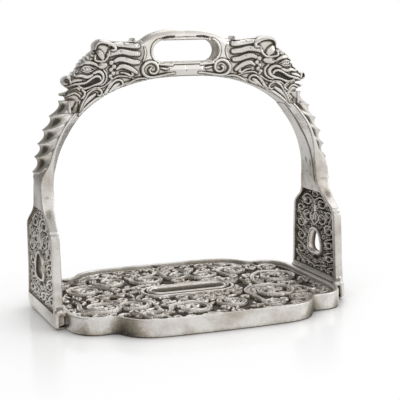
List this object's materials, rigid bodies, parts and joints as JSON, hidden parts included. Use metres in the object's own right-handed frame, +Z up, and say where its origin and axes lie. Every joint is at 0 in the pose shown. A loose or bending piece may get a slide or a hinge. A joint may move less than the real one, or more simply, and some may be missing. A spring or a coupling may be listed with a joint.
{
  "type": "stirrup",
  "caption": "Pierced steel stirrup with a lobed foot plate, flanged arms with eyed scroll panels, dragon-head shoulders and a slotted strap loop.",
  "frame": {"origin": "middle of the foot plate at the surface that the stirrup stands on", "axes": "+X across the stirrup to its right arm as seen from the front, +Y along the rider's foot away from the picture's view, +Z up to the strap loop"},
  "size_m": [0.1548, 0.1164, 0.138],
  "materials": {
    "worn_steel": "worn bright satin with dark oxide in the hollows",
    "pierced_steel": "chiselled, dark oxide in the hollows, rubbed bright on the edges",
    "rivet_steel": "peened and filed flush"
  },
  "bodies": {
    "root": {"tread_rim": "worn_steel", "arm_right": "worn_steel", "arm_left": "worn_steel", "bow_right": "worn_steel", "bow_left": "worn_steel", "strap_loop": "worn_steel", "dragon_head_right": "worn_steel", "dragon_head_left": "worn_steel", "tread_grille": "pierced_steel", "slot_frame": "pierced_steel", "side_grille_right": "pierced_steel", "side_grille_left": "pierced_steel", "eye_ring_right": "pierced_steel", "eye_ring_left": "pierced_steel", "grille_rivet_1": "rivet_steel", "grille_rivet_2": "rivet_steel", "grille_rivet_3": "rivet_steel", "grille_rivet_4": "rivet_steel", "grille_rivet_5": "rivet_steel", "grille_rivet_6": "rivet_steel", "foot_key_right": "rivet_steel", "foot_key_left": "rivet_steel", "key_rivet_front_right": "rivet_steel", "key_rivet_front_left": "rivet_steel", "key_rivet_back_right": "rivet_steel", "key_rivet_back_left": "rivet_steel", "lock_pin_right": "rivet_steel", "lock_pin_left": "rivet_steel", "loop_rivet_right": "rivet_steel", "loop_rivet_left": "rivet_steel", "head_pin_right": "rivet_steel", "head_pin_left": "rivet_steel", "neck_rivet_right": "rivet_steel", "neck_rivet_left": "rivet_steel"}
  },
  "joints": []
}
